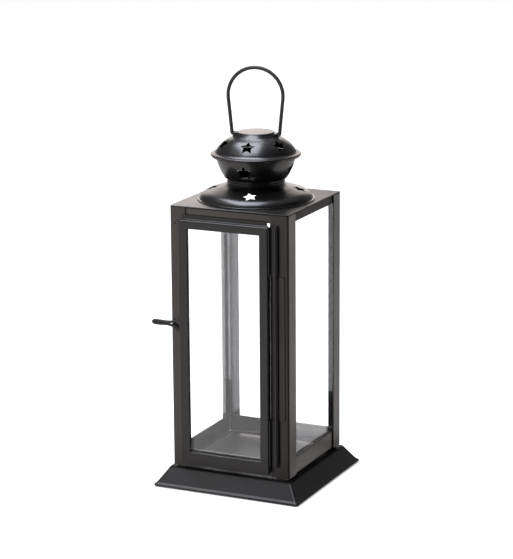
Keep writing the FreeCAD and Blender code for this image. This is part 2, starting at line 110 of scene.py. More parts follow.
studio = bpy.data.worlds.new("white_studio")
bpy.context.scene.world = studio
studio.use_nodes = True
tree = studio.node_tree
tree.nodes.clear()
direction = add_node(tree, "TexCoord", {}, "Generated")
aside, ahead, upward = split(tree, direction)
room_colour = colour_stops(tree, upward, (0.35, (0.45, 0.43, 0.42)), (0.60, (0.32, 0.31, 0.31)),
                           (0.74, (0.88, 0.86, 0.87)), (1, (0.60, 0.60, 0.62)))
depth = share(tree, ahead, -0.5, 0.3, 1, 0.38)
wing = share(tree, reckon(tree, "MULTIPLY_ADD", ahead, -0.5, aside), 0.1, 0.5, 1, 0.2)
dim = reckon(tree, "MULTIPLY", depth, wing)
room = add_node(tree, "Background", {"Color": room_colour, "Strength": dim})
backdrop_way = (-0.41, 0.88, 0.24)
behind = add_node(tree, "VectorMath", {0: direction, 1: backdrop_way}, "Value", operation="DOT_PRODUCT")
patch = share(tree, behind, 0.90, 0.985, 0, 1.8, "SMOOTHSTEP")
backdrop = add_node(tree, "Background", {"Color": (1, 0.92, 0.88, 1), "Strength": patch})
lit = add_node(tree, "AddShader", {0: room, 1: backdrop})
white = add_node(tree, "Background", {"Color": (1, 1, 1, 1)})
view = add_node(tree, "MixShader", {0: seen_directly(tree), 1: lit, 2: white})
tree.links.new(view, tree.nodes.new("ShaderNodeOutputWorld").inputs["Surface"])

bpy.ops.object.select_all(action="DESELECT")
bpy.ops.object.light_add(type="AREA", location=(-0.25, -0.1, 1.5))
softbox = bpy.context.object
softbox.name = "softbox_above"
softbox.data.shape = "RECTANGLE"
softbox.data.size = 1.6
softbox.data.size_y = 0.9
softbox.data.energy = 35
softbox.data.color = (0.88, 0.90, 1.0)
softbox_aim = Vector((0, 0, 0.1))
softbox.rotation_euler = (softbox_aim - softbox.location).to_track_quat("-Z", "Y").to_euler()

# Floor: a pale matt table that runs out of sight into the white surround and keeps
# the lantern's faint shadow. Its mirror image in the coat carries painted shade: it is
# darker at the front right and close to the plinth.
bpy.ops.object.select_all(action="DESELECT")
bpy.ops.mesh.primitive_plane_add(size=12, location=(0, 0, -0.0002))
table = bpy.context.object
table.name = "studio_floor"
table_white = bpy.data.materials.new("table_white")
table_white.use_nodes = True
tree = table_white.node_tree
tree.nodes.clear()
seen = seen_directly(tree)
matt = add_node(tree, "BsdfDiffuse", {"Color": (0.82, 0.82, 0.82, 1)})
glow = add_node(tree, "Emission", {"Strength": reckon(tree, "MULTIPLY", seen, 0.62)})
pale = add_node(tree, "AddShader", {0: matt, 1: glow})
x, y, z = split(tree, add_node(tree, "TexCoord", {}, "Object"))
# Painted shade in the floor's mirror image: dimmer towards the front right and in a dark ring just outside
# the plinth.
right = share(tree, x, 0, 0.06, blend="SMOOTHSTEP")
front = share(tree, y, 0.02, -0.06, blend="SMOOTHSTEP")
level = share(tree, reckon(tree, "MULTIPLY", right, front), 0, 1, 1.65, 0.2)
away = reckon(tree, "MAXIMUM", reckon(tree, "ABSOLUTE", x), reckon(tree, "ABSOLUTE", y))
painted_shade_greys = [(0.12, 1), (0.28, 0.18), (0.46, 0.18), (0.68, 0.6)]
painted_shade_near_plinth = colour_stops(tree, share(tree, away, 0.04, 0.12), *[(at, (grey, grey, grey)) for at, grey in painted_shade_greys])
painted_mirror_level = reckon(tree, "MULTIPLY", level, painted_shade_near_plinth)
reflected = add_node(tree, "Emission", {"Color": (1, 0.95, 0.925, 1), "Strength": painted_mirror_level})
mirrored = reckon(tree, "SUBTRACT", add_node(tree, "LightPath", {}, "Is Glossy Ray"), seen, clamp=True)
view = add_node(tree, "MixShader", {0: mirrored, 1: pale, 2: reflected})
tree.links.new(view, tree.nodes.new("ShaderNodeOutputMaterial").inputs["Surface"])
table.data.materials.append(table_white)


# Plinth: one square of sheet steel pressed into a pan with a flat top, a sloping
# skirt and a rolled lip, powder coated in satin black. The post tabs go through it.
def powder_coat(name, colour, roughness, peel_depth, index=1.55, left=0.5, right=0.5, dust_light=0.004):
    """Satin powder coat with fine orange peel, randomly uneven sheen and a little settled dust. Where left
    and right differ, a painted sheen runs across it, stronger on one side than the other.
    """
    coat = bpy.data.materials.new(name)
    coat.use_nodes = True
    tree = coat.node_tree
    shader = tree.nodes["Principled BSDF"]
    place = add_node(tree, "TexCoord", {}, "Object")
    peel = add_node(tree, "TexNoise", {"Vector": place, "Scale": 1300, "Detail": 2})
    bump = add_node(tree, "Bump", {"Strength": 0.5, "Distance": peel_depth, "Height": peel})
    tree.links.new(bump, shader.inputs["Normal"])
    cloud = add_node(tree, "TexNoise", {"Vector": place, "Scale": 45, "Detail": 4})
    sheen = share(tree, cloud, 0.3, 0.7, roughness - 0.04, roughness + 0.05)
    tree.links.new(sheen, shader.inputs["Roughness"])
    speck = add_node(tree, "TexNoise", {"Vector": place, "Scale": 2600, "Detail": 1})
    dusty = [part * 1.5 + dust_light for part in colour]
    tree.links.new(colour_stops(tree, speck, (0.55, colour), (0.80, dusty)), shader.inputs["Base Color"])
    shader.inputs["IOR"].default_value = index
    gloss = shader.inputs["Specular IOR Level"]
    gloss.default_value = (left + right) / 2
    # Painted sheen: the specular level runs from the left value to the right value across the piece,
    # standing in for light that falls more on one side.
    if left != right:
        painted_sheen_reach = 0.036
        tree.links.new(share(tree, split(tree, place)[0], -painted_sheen_reach, painted_sheen_reach, left, right), gloss)
    return coat


def choose(piece):
    """Makes a piece the only selected and the active object."""
    if bpy.context.mode != "OBJECT":
        bpy.ops.object.mode_set(mode="OBJECT")
    bpy.ops.object.select_all(action="DESELECT")
    piece.select_set(True)
    bpy.context.view_layer.objects.active = piece


def pick(piece, test):
    """Selects in edit mode the points whose place passes the test."""
    choose(piece)
    bpy.ops.object.mode_set(mode="EDIT")
    bpy.ops.mesh.select_mode(type="VERT")
    bpy.ops.mesh.select_all(action="DESELECT")
    bpy.ops.object.mode_set(mode="OBJECT")
    for point in piece.data.vertices:
        point.select = test(point.co)
    bpy.ops.object.mode_set(mode="EDIT")


def push(x=0, y=0, z=0):
    """Extrudes what is selected."""
    bpy.ops.mesh.extrude_region_move(TRANSFORM_OT_translate={"value": (x, y, z)})


def add_modifier(piece, kind, **settings):
    """One modifier added to a piece with its settings and applied."""
    choose(piece)
    bpy.ops.object.modifier_add(type=kind)
    modifier = piece.modifiers[-1]
    for key, value in settings.items():
        setattr(modifier, key, value)
    bpy.ops.object.modifier_apply(modifier=modifier.name)


def round_edges(piece, radius, steps, sharper_than):
    """Rounds the edges that are sharper than an angle in degrees."""
    add_modifier(piece, "BEVEL", width=radius, segments=steps, limit_method="ANGLE",
                 angle_limit=math.radians(sharper_than))


def round_folds(piece, radius, steps=4):
    """Rounds the sharp folds of a sheet's outer skin."""
    round_edges(piece, radius, steps, 25)


def give_thickness(piece, sheet, burr=0.0001):
    """Gives a skin its sheet thickness on the inside and breaks the cut edges."""
    add_modifier(piece, "SOLIDIFY", thickness=sheet, offset=-1, use_even_offset=True)
    round_edges(piece, burr, 2, 50)


def face_away(piece, inside):
    """Turns the faces of an open skin so that they look away from a point within its folds."""
    choose(piece)
    bpy.ops.object.mode_set(mode="EDIT")
    bpy.ops.mesh.select_all(action="SELECT")
    bpy.ops.mesh.normals_make_consistent(inside=False)
    bpy.ops.object.mode_set(mode="OBJECT")
    middle = Vector(inside)
    away = sum(face.area * face.normal.dot(face.center - middle) for face in piece.data.polygons)
    if away < 0:
        bpy.ops.object.mode_set(mode="EDIT")
        bpy.ops.mesh.flip_normals()
        bpy.ops.object.mode_set(mode="OBJECT")


def cut_with(piece, cutter):
    """Cuts a closed shape out of a piece."""
    add_modifier(piece, "BOOLEAN", object=cutter, operation="DIFFERENCE", solver="EXACT")
    bpy.data.objects.remove(cutter)


def block(low, high):
    """A box between two corners, used as a cutter or a start."""
    bpy.ops.object.select_all(action="DESELECT")
    bpy.ops.mesh.primitive_cube_add(size=1, location=(Vector(low) + Vector(high)) / 2)
    box = bpy.context.object
    box.scale = Vector(high) - Vector(low)
    bpy.ops.object.transform_apply(location=True, rotation=True, scale=True)
    return box


def finish_piece(piece, coat, slot, body, *nodes_replaced):
    """Smooth shading, finish and place in the assembly."""
    choose(piece)
    bpy.ops.object.transform_apply(location=True, rotation=True, scale=True)
    bpy.ops.object.shade_smooth_by_angle(angle=math.radians(35))
    add_modifier(piece, "WEIGHTED_NORMAL", keep_sharp=True)
    piece.data.materials.clear()
    piece.data.materials.append(coat)
    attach(piece, body)
    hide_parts(*nodes_replaced)


plinth_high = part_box("plinth")[1]
half_plinth = plinth_high.x
plinth_top = plinth_high.z
roof_low, roof_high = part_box("roof_plate")
half_body = roof_high.x
body_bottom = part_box("bottom_rail_front")[0].z
plinth_sheet = 0.0008
ledge = half_body + 0.00165
skirt_levels = [
    (half_plinth - 0.0016, 0.0028), (half_plinth - 0.0012, 0.0025), (half_plinth - 0.0008, 0.0021),
    (half_plinth - 0.0003, 0.0018), (half_plinth, 0.0013), (half_plinth, 0.0007),
    (half_plinth - 0.0004, 0.0002), (half_plinth - 0.001, 0),
]
coat_black = (0.006, 0.0058, 0.0056)
satin_black = powder_coat("satin_black_coat", coat_black, 0.33, 0.00003, 1.55, 0.54, 0.54)
# Painted sheen and shade: the plinth coat's gloss is painted stronger on the left, and on the plinth's top
# it is turned almost off round the body's foot and on the ledge, as painted shade where the body shades it.
plinth_black = powder_coat("plinth_black_coat", (0.008, 0.0077, 0.0077), 0.36, 0.00003, 1.55, 0.54, 0.38)
tree = plinth_black.node_tree
x, y, z = split(tree, add_node(tree, "TexCoord", {}, "Object"))
away = reckon(tree, "MAXIMUM", reckon(tree, "ABSOLUTE", x), reckon(tree, "ABSOLUTE", y))
ledge_shade_mask = share(tree, away, half_body - 0.0028, half_body - 0.0008, 1, 0.04)
below_top = share(tree, z, plinth_top - 0.0001, plinth_top - 0.0009)
gloss = tree.nodes["Principled BSDF"].inputs["Specular IOR Level"]
painted_ledge_shade = reckon(tree, "MAXIMUM", ledge_shade_mask, below_top)
tree.links.new(reckon(tree, "MULTIPLY", gloss.links[0].from_socket, painted_ledge_shade), gloss)
bpy.ops.object.select_all(action="DESELECT")
bpy.ops.mesh.primitive_plane_add(size=2 * ledge, location=(0, 0, plinth_top))
plinth = bpy.context.object
plinth.name = "pressed_plinth"
bpy.ops.object.transform_apply(location=True)
bpy.ops.object.mode_set(mode="EDIT")
plinth_corner = 0.0014
bpy.ops.mesh.bevel(offset=plinth_corner, segments=5, affect="VERTICES")
bpy.ops.object.mode_set(mode="OBJECT")
reach = ledge
level = plinth_top
pick(plinth, lambda at: True)
bpy.ops.mesh.select_mode(type="EDGE")
for new_reach, new_level in skirt_levels:
    bpy.ops.mesh.extrude_edges_move(TRANSFORM_OT_translate={"value": (0, 0, new_level - level)})
    bpy.ops.transform.resize(value=(new_reach / reach, new_reach / reach, 1), center_override=(0, 0, 0))
    reach = new_reach
    level = new_level
bpy.ops.object.mode_set(mode="OBJECT")
face_away(plinth, (0, 0, 0))
round_edges(plinth, 0.0009, 4, 38)
add_modifier(plinth, "SOLIDIFY", thickness=plinth_sheet, offset=-1, use_even_offset=True)
tab_inset = 0.0025
tab_width = 0.0056
slot_gap = 0.00015
post_sheet = 0.0007
slot_x = (half_body - tab_inset - tab_width - slot_gap, half_body - tab_inset + slot_gap)
slot_y = (half_body - post_sheet - slot_gap, half_body + slot_gap)
slot_z = (plinth_top - 0.002, plinth_top + 0.001)
for sx in (-1, 1):
    for sy in (-1, 1):
        corners = [(sx * x, sy * y, z) for x, y, z in zip(slot_x, slot_y, slot_z)]
        cut_with(plinth, block([min(pair) for pair in zip(*corners)], [max(pair) for pair in zip(*corners)]))
finish_piece(plinth, plinth_black, "black_steel", "lantern_body", "plinth")


# Posts: four angles folded from sheet steel. At the foot of each a tab goes through
# the plinth and is bent in under it; the front left one has a weld dimple at its head.
def folded_skin(name, corners, run, inside):
    """A line of corners pushed along run: the outer skin of folded sheet."""
    bpy.ops.object.select_all(action="DESELECT")
    bpy.ops.mesh.primitive_plane_add(size=0.01)
    piece = bpy.context.object
    piece.name = name
    bpy.ops.object.mode_set(mode="EDIT")
    bpy.ops.mesh.select_mode(type="VERT")
    bpy.ops.mesh.merge(type="CENTER")
    bpy.ops.transform.translate(value=corners[0])
    for start, end in zip(corners, corners[1:]):
        push(*(Vector(end) - Vector(start)))
    bpy.ops.mesh.select_all(action="SELECT")
    push(*run)
    bpy.ops.object.mode_set(mode="OBJECT")
    face_away(piece, inside)
    return piece


def slice_skin(piece, place, normal, trim=False):
    """Cuts a skin along a plane and, where asked, trims what lies beyond it."""
    pick(piece, lambda at: True)
    bpy.ops.mesh.bisect(plane_co=place, plane_no=normal, clear_outer=trim)
    bpy.ops.object.mode_set(mode="OBJECT")


def joined(name, pieces):
    """Several shapes made one piece."""
    bpy.ops.object.select_all(action="DESELECT")
    for piece in pieces:
        piece.select_set(True)
    bpy.context.view_layer.objects.active = pieces[0]
    bpy.ops.object.join()
    pieces[0].name = name
    return pieces[0]


# Painted sheen and shade: the body coat's gloss is painted stronger on the left than on the right, and the
# posts get a darker, shaded copy of it.
body_black = powder_coat("body_black_coat", coat_black, 0.33, 0.00003, 1.8, 0.62, 0.40)
post_black = powder_coat("post_black_coat", coat_black, 0.33, 0.00003, 1.8, 0.48, 0.28)
for coat in (body_black, post_black):
    coat.node_tree.nodes["Principled BSDF"].inputs["Specular Tint"].default_value = (1, 0.965, 0.94, 1)
post_fold = 0.001
tab_foot = 0.003
weld_radius = 0.0015
weld_edge = 0.0038
weld_lift = 0.0012
weld_drop = 0.0102
for node, sx, sy in (("post_front_left", -1, -1), ("post_front_right", 1, -1),
                     ("post_back_left", -1, 1), ("post_back_right", 1, 1)):
    low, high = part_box(node)
    corner_x, end_x = (high.x, low.x) if sx > 0 else (low.x, high.x)
    corner_y, end_y = (high.y, low.y) if sy > 0 else (low.y, high.y)
    folds = [(end_x, corner_y, body_bottom), (corner_x, corner_y, body_bottom),
             (corner_x, end_y, body_bottom)]
    inside = (corner_x - sx * 0.004, corner_y - sy * 0.004, 0.09)
    post = folded_skin(node.replace("post", "corner_post"), folds, (0, 0, high.z - body_bottom), inside)
    tab_near = corner_x - sx * tab_inset
    tab_far = tab_near - sx * tab_width
    slice_skin(post, (tab_near, 0, 0), (1, 0, 0))
    slice_skin(post, (tab_far, 0, 0), (1, 0, 0))
    tab_left = min(tab_near, tab_far) - 0.0001
    tab_right = max(tab_near, tab_far) + 0.0001
    pick(post, lambda at: at.z < body_bottom + 0.0001 and tab_left < at.x < tab_right)
    push(z=low.z - body_bottom)
    push(y=-sy * tab_foot)
    bpy.ops.object.mode_set(mode="OBJECT")
    round_folds(post, post_fold, 5)
    give_thickness(post, post_sheet)
    if node == "post_front_left":
        weld = (corner_x + weld_edge, corner_y - weld_lift, roof_high.z - weld_drop)
        bpy.ops.object.select_all(action="DESELECT")
        bpy.ops.mesh.primitive_uv_sphere_add(radius=weld_radius, segments=32, ring_count=16, location=weld)
        cut_with(post, bpy.context.object)
    finish_piece(post, post_black, "black_steel", "lantern_body", node)

# Rails: four at the foot and four at the head, each folded from sheet with a hem
# along the window and a flange at the far edge, mitred and spot welded to the posts.
# Painted shade: a nearly glossless, shaded copy of the coat, used on the right top rail only.
shaded_rail_black = powder_coat("shaded_side_rail_coat", coat_black, 0.36, 0.00003, 1.45, 0.1, 0.1)
rail_sheet = 0.00055
hem_fold = 0.0006
hem_height = 0.0035
quarters = ("front", "right", "back", "left")
for place in ("bottom", "top"):
    low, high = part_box(place + "_rail_front")
    far, window = (low.z, high.z) if place == "bottom" else (high.z, low.z)
    way = 1 if far > window else -1
    mitre = -low.y - high.x
    end = low.x
    hem = low.y + 2 * hem_fold
    folds = [(end, high.y, far), (end, low.y, far), (end, low.y, window), (end, hem, window),
             (end, hem, window + way * hem_height)]
    rail = folded_skin(place + "_rail", folds, (2 * high.x, 0, 0), (0, low.y + 0.0005, (far + window) / 2))
    round_folds(rail, hem_fold)
    slice_skin(rail, (0, -mitre, 0), (1, 1, 0), trim=True)
    slice_skin(rail, (0, -mitre, 0), (-1, 1, 0), trim=True)
    give_thickness(rail, rail_sheet)
    for quarter, side in enumerate(quarters):
        choose(rail)
        bpy.ops.object.duplicate()
        copy = bpy.context.object
        copy.name = side + "_" + place + "_rail"
        copy.rotation_euler[2] = math.radians(90 * quarter)
        coat = shaded_rail_black if (place, side) == ("top", "right") else body_black
        finish_piece(copy, coat, "black_steel", "lantern_body", place + "_rail_" + side)
    bpy.data.objects.remove(rail)

# Roof plate: a flat square of sheet steel with rounded corners and a flue hole,
# spot welded down onto the rails.
flue_radius = 0.027
# Painted sheen: the roof coat's gloss is painted strong on the left and weak on the right.
roof_black = powder_coat("roof_black_coat", coat_black, 0.35, 0.00003, 1.8, 0.8, 0.1)
bpy.ops.object.select_all(action="DESELECT")
bpy.ops.mesh.primitive_plane_add(size=2 * half_body, location=(0, 0, roof_low.z))
roof = bpy.context.object
roof.name = "flat_roof"
bpy.ops.object.transform_apply(location=True)
bpy.ops.object.mode_set(mode="EDIT")
bpy.ops.mesh.bevel(offset=post_fold, segments=5, affect="VERTICES")
push(z=roof_high.z - roof_low.z)
bpy.ops.object.mode_set(mode="OBJECT")
face_away(roof, (0, 0, (roof_low.z + roof_high.z) / 2))
bpy.ops.object.select_all(action="DESELECT")
bpy.ops.mesh.primitive_cylinder_add(vertices=96, radius=flue_radius, depth=0.01, location=(0, 0, roof_low.z))
cut_with(roof, bpy.context.object)
round_edges(roof, 0.0003, 3, 50)
finish_piece(roof, roof_black, "black_steel", "lantern_body", "roof_plate")

# Panes: clear float glass with ground edges, three behind the side windows and
# one in the door, held by bent steel clips.
float_glass = bpy.data.materials.new("float_glass")
float_glass.use_nodes = True
tree = float_glass.node_tree
glass = tree.nodes["Principled BSDF"]
glass.inputs["Base Color"].default_value = (1, 1, 1, 1)
glass.inputs["Transmission Weight"].default_value = 1
glass.inputs["Roughness"].default_value = 0
glass.inputs["IOR"].default_value = 1.5
ripple = add_node(tree, "TexNoise", {"Vector": add_node(tree, "TexCoord", {}, "Object"), "Scale": 25})
wave = add_node(tree, "Bump", {"Strength": 0.04, "Distance": 0.0002, "Height": ripple})
tree.links.new(wave, glass.inputs["Normal"])
clear = add_node(tree, "BsdfTransparent", {})
in_shadow = add_node(tree, "LightPath", {}, "Is Shadow Ray")
veil = add_node(tree, "MixShader", {0: in_shadow, 1: glass.outputs["BSDF"], 2: clear})
tree.links.new(veil, tree.nodes["Material Output"].inputs["Surface"])
for node in ("glass_right", "glass_back", "glass_left", "door_glass"):
    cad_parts[node].data.materials.clear()
    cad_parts[node].data.materials.append(float_glass)


# Clips: short strips of sheet bent at a right angle. The sole is welded to a rail's
# flange, and the tapered upright keeps the glass against the hem.
def bent_clip(name, low, high, foot, half_head):
    """One clip within a box, with its sole at height foot and a narrower head."""
    head = high.z if foot < high.z - 0.001 else low.z
    middle = (low.x + high.x) / 2
    folds = [(low.x, low.y, foot), (low.x, high.y, foot), (low.x, high.y, head)]
    piece = folded_skin(name, folds, (high.x - low.x, 0, 0), (middle, low.y, head))
    pick(piece, lambda at: abs(at.z - head) < 0.0001)
    bpy.ops.transform.resize(value=(2 * half_head / (high.x - low.x), 1, 1), center_override=(middle, 0, 0))
    bpy.ops.object.mode_set(mode="OBJECT")
    round_folds(piece, 0.0006)
    give_thickness(piece, 0.00045, 0.00008)
    return piece


low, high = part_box("glass_clips_back")
clip_depth_low = -high.y
clip_depth_high = -low.y
clip_low_height = 0.0068
clip_high_height = 0.0036
clip_half_head = 0.0082
pair = []
for foot, height in ((low.z, clip_low_height), (high.z, -clip_high_height)):
    corner_low = Vector((low.x, clip_depth_low, min(foot, foot + height)))
    corner_high = Vector((high.x, clip_depth_high, max(foot, foot + height)))
    pair.append(bent_clip("clip", corner_low, corner_high, foot, clip_half_head))
clips = joined("pane_clips", pair)
for quarter, side in enumerate(quarters):
    if side != "front":
        choose(clips)
        bpy.ops.object.duplicate()
        copy = bpy.context.object
        copy.name = side + "_pane_clips"
        copy.rotation_euler[2] = math.radians(90 * quarter)
        finish_piece(copy, satin_black, "black_steel", "lantern_body", "glass_clips_" + side)
bpy.data.objects.remove(clips)

# Door: two stiles and two cross rails of folded channel, welded together round one
# pane. The cross rails have closed ends, and a lip stands up behind the head.
door_sheet = 0.0006
door_fold = 0.0008
return_depth = 0.0015
rail_low, rail_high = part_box("door_rail_bottom")
door_front = rail_low.y
door_back = rail_high.y
door_left = rail_low.x
door_right = rail_high.x
opening_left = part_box("door_stile_left")[1].x
opening_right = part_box("door_stile_right")[0].x
for side, outer, inner in (("left", door_left, opening_left), ("right", door_right, opening_right)):
    low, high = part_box("door_stile_" + side)
    folds = [(outer, door_back, low.z), (outer, door_front, low.z), (inner, door_front, low.z),
             (inner, door_front + return_depth, low.z)]
    stile = folded_skin(side + "_door_stile", folds, (0, 0, high.z - low.z),
                        ((outer + inner) / 2, door_back, (low.z + high.z) / 2))
    round_folds(stile, door_fold)
    give_thickness(stile, door_sheet)
    finish_piece(stile, satin_black, "black_steel", "door", "door_stile_" + side)

lip_inset = 0.0018
lip_height = 0.0025
for place in ("bottom", "top"):
    low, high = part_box("door_rail_" + place)
    outer = low.z if place == "bottom" else high.z - lip_height
    inner = high.z if place == "bottom" else low.z
    way = 1 if inner > outer else -1
    channel = block((door_left, door_front, min(outer, inner)), (door_right, door_back, max(outer, inner)))
    channel.name = place + "_door_rail"
    pick(channel, lambda at: at.y > door_back - 0.0001)
    bpy.ops.mesh.delete(type="ONLY_FACE")
    pick(channel, lambda at: abs(at.z - inner) < 0.0001)
    bpy.ops.mesh.delete(type="ONLY_FACE")
    bpy.ops.object.mode_set(mode="OBJECT")
    slice_skin(channel, (opening_left, 0, 0), (1, 0, 0))
    slice_skin(channel, (opening_right, 0, 0), (1, 0, 0))
    pick(channel, lambda at: abs(at.z - inner) < 0.0001 and at.y < door_front + 0.0001
         and opening_left - 0.0001 < at.x < opening_right + 0.0001)
    push(y=return_depth)
    bpy.ops.object.mode_set(mode="OBJECT")
    face_away(channel, (0, door_back, (outer + inner) / 2))
    if place == "top":
        slice_skin(channel, (door_left + lip_inset, 0, 0), (1, 0, 0))
        slice_skin(channel, (door_right - lip_inset, 0, 0), (1, 0, 0))
        pick(channel, lambda at: abs(at.z - outer) < 0.0001 and at.y > door_back - 0.0001
             and door_left + lip_inset - 0.0001 < at.x < door_right - lip_inset + 0.0001)
        push(z=high.z - outer)
        bpy.ops.object.mode_set(mode="OBJECT")
    round_folds(channel, door_fold)
    give_thickness(channel, door_sheet)
    finish_piece(channel, satin_black, "black_steel", "door", "door_rail_" + place)

low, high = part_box("door_glass_clips")
door_clip_wide = 0.008
door_clip_height = 0.0034
door_clip_half_head = 0.002
small_clips = []
for x_low, x_high in ((low.x, low.x + door_clip_wide), (high.x - door_clip_wide, high.x)):
    for foot, height in ((low.z, door_clip_height), (high.z, -door_clip_height)):
        corner_low = Vector((x_low, low.y, min(foot, foot + height)))
        corner_high = Vector((x_high, high.y, max(foot, foot + height)))
        small_clips.append(bent_clip("clip", corner_low, corner_high, foot, door_clip_half_head))
finish_piece(joined("door_pane_clips", small_clips), satin_black, "black_steel", "door", "door_glass_clips")


# Hinge: two leaves welded to the door's right flange and one welded to the post, all
# rolled round one long pin of wire that keeps its coated ends.
def rolled_round(axis, radius, start, end):
    """Points round the pin from one direction to another, in degrees."""
    steps = 24
    angles = [math.radians(start + (end - start) * i / steps) for i in range(steps + 1)]
    return [(axis.x + radius * math.cos(a), axis.y + radius * math.sin(a)) for a in angles]


leaf_sheet = 0.00048
leaf_burr = 0.00008
leaf_return = 0.0026
pin_low, pin_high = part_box("hinge_pin")
pin_axis = (pin_low + pin_high) / 2
for place in ("upper", "lower"):
    low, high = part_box("hinge_leaf_" + place)
    barrel = high.x - pin_axis.x
    leaf_back = pin_axis.y + barrel
    line = [(low.x, leaf_back - leaf_return), (low.x, leaf_back)] + rolled_round(pin_axis, barrel, 90, -215)
    leaf = folded_skin(place + "_door_leaf", [(x, y, low.z) for x, y in line], (0, 0, high.z - low.z),
                       (pin_axis.x, pin_axis.y, (low.z + high.z) / 2))
    give_thickness(leaf, leaf_sheet, leaf_burr)
    finish_piece(leaf, satin_black, "black_steel", "door", "hinge_leaf_" + place)
low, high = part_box("hinge_leaf_post")
barrel = pin_axis.x - low.x
line = [(high.x, high.y), (pin_axis.x + 0.001, high.y)] + rolled_round(pin_axis, barrel, 90, 385)
leaf = folded_skin("post_leaf", [(x, y, low.z) for x, y in line], (0, 0, high.z - low.z),
                   (pin_axis.x, pin_axis.y, (low.z + high.z) / 2))
give_thickness(leaf, leaf_sheet, leaf_burr)
finish_piece(leaf, post_black, "black_steel", "lantern_body", "hinge_leaf_post")
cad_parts["hinge_pin"].data.materials.clear()
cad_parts["hinge_pin"].data.materials.append(satin_black)


# Door pull: a hairpin of steel wire pressed flat on itself, with its two legs spread
# and welded to the door's left flange.
def wire(name, points, radius, sides=5):
    """Round wire along points, smooth through each."""
    bpy.ops.object.select_all(action="DESELECT")
    bpy.ops.curve.primitive_bezier_curve_add()
    cord = bpy.context.object
    cord.name = name
    spline = cord.data.splines[0]
    spline.bezier_points.add(len(points) - 2)
    for point, place in zip(spline.bezier_points, points):
        point.co = place
        point.handle_left_type = "AUTO"
        point.handle_right_type = "AUTO"
    cord.data.resolution_u = 8
    cord.data.bevel_depth = radius
    cord.data.bevel_resolution = sides
    cord.data.use_fill_caps = True
    bpy.ops.object.convert(target="MESH")
    cord = bpy.context.object
    pick(cord, lambda at: True)
    bpy.ops.mesh.remove_doubles(threshold=0.000001)
    bpy.ops.mesh.normals_make_consistent(inside=False)
    bpy.ops.object.mode_set(mode="OBJECT")
    return cord


low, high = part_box("door_pull")
pull_wire = 0.00085
strand = pull_wire + 0.00002
pull_y = (low.y + high.y) / 2
pull_root = high.x
pull_pinch = pull_root - 0.0055
pull_tip = low.x + pull_wire
pull_z = (low.z + high.z) / 2 + 0.0006
route = [
    (pull_root, pull_y, high.z - pull_wire), (pull_pinch + 0.0015, pull_y, pull_z + strand + 0.0006),
    (pull_pinch - 0.001, pull_y, pull_z + strand), (pull_tip + 0.004, pull_y, pull_z + strand),
    (pull_tip + 0.0017, pull_y, pull_z + strand), (pull_tip + 0.0008, pull_y, pull_z + 0.9 * strand),
    (pull_tip, pull_y, pull_z), (pull_tip + 0.0008, pull_y, pull_z - 0.9 * strand),
    (pull_tip + 0.0017, pull_y, pull_z - strand), (pull_tip + 0.004, pull_y, pull_z - strand),
    (pull_pinch - 0.001, pull_y, pull_z - strand), (pull_pinch + 0.0015, pull_y, pull_z - strand - 0.0009),
    (pull_root, pull_y, low.z + pull_wire),
]
pull = wire("door_pull_wire", route, pull_wire, 5)
wire_black = powder_coat("wire_coat", (0.048, 0.045, 0.041), 0.5, 0.00001, 1.25)
finish_piece(pull, wire_black, "black_steel", "door", "door_pull")


# Chimney hood: spun from thin sheet, with a flat foot, a domed shoulder and an upright
# neck, punched with a ring of five-pointed stars and spot welded to the roof. Painted
# shade turns the coat's gloss down inside the chimney.
def spun(name, outline, corners, steps=144):
    """A skin turned about the lantern's axis from an outline, smooth except at its corners."""
    bpy.ops.object.select_all(action="DESELECT")
    bpy.ops.curve.primitive_bezier_curve_add()
    curve = bpy.context.object
    spline = curve.data.splines[0]
    spline.bezier_points.add(len(outline) - 2)
    for i, (point, (out, up)) in enumerate(zip(spline.bezier_points, outline)):
        kind = "VECTOR" if i in corners else "AUTO"
        point.co = (out, 0, up)
        point.handle_left_type = kind
        point.handle_right_type = kind
    curve.data.resolution_u = 6
    bpy.ops.object.convert(target="MESH")
    piece = bpy.context.object
    piece.name = name
    bpy.ops.object.mode_set(mode="EDIT")
    bpy.ops.mesh.select_all(action="SELECT")
    bpy.ops.mesh.spin(steps=steps, angle=2 * math.pi, center=(0, 0, 0), axis=(0, 0, 1))
    bpy.ops.mesh.select_all(action="SELECT")
    bpy.ops.mesh.remove_doubles(threshold=0.00001)
    bpy.ops.object.mode_set(mode="OBJECT")
    face_away(piece, (0, 0, (outline[0][1] + outline[-1][1]) / 2))
    return piece


def star_punches(outline, radius, count, turn, spin=0):
    """A ring of star-shaped punches that stand square on the sheet at a radius."""
    for (out_a, up_a), (out_b, up_b) in zip(outline, outline[1:]):
        if min(out_a, out_b) <= radius <= max(out_a, out_b):
            height = up_a + (up_b - up_a) * (radius - out_a) / (out_b - out_a)
            tilt = math.atan2(abs(out_b - out_a), up_a - up_b)
            break
    punches = []
    for i in range(count):
        bpy.ops.object.select_all(action="DESELECT")
        bpy.ops.mesh.primitive_circle_add(vertices=10, radius=star_radius, fill_type="NGON")
        punch = bpy.context.object
        for point in punch.data.vertices:
            if point.index % 2:
                point.co *= star_waist
        pick(punch, lambda at: True)
        push(z=punch_length)
        bpy.ops.mesh.select_all(action="SELECT")
        bpy.ops.transform.translate(value=(0, 0, -punch_length / 2))
        bpy.ops.mesh.normals_make_consistent(inside=False)
        bpy.ops.object.mode_set(mode="OBJECT")
        upright = Matrix.Rotation(math.radians(90), 4, "X") @ Matrix.Rotation(math.radians(spin), 4, "Z")
        lean = Matrix.Rotation(-tilt if tilt < math.pi / 2 else math.pi - tilt, 4, "X")
        turned = Matrix.Rotation(math.radians(turn + 360 / count * i), 4, "Z")
        punch.matrix_world = turned @ Matrix.Translation((0, -radius, height)) @ lean @ upright
        punches.append(punch)
    return joined("stars", punches)


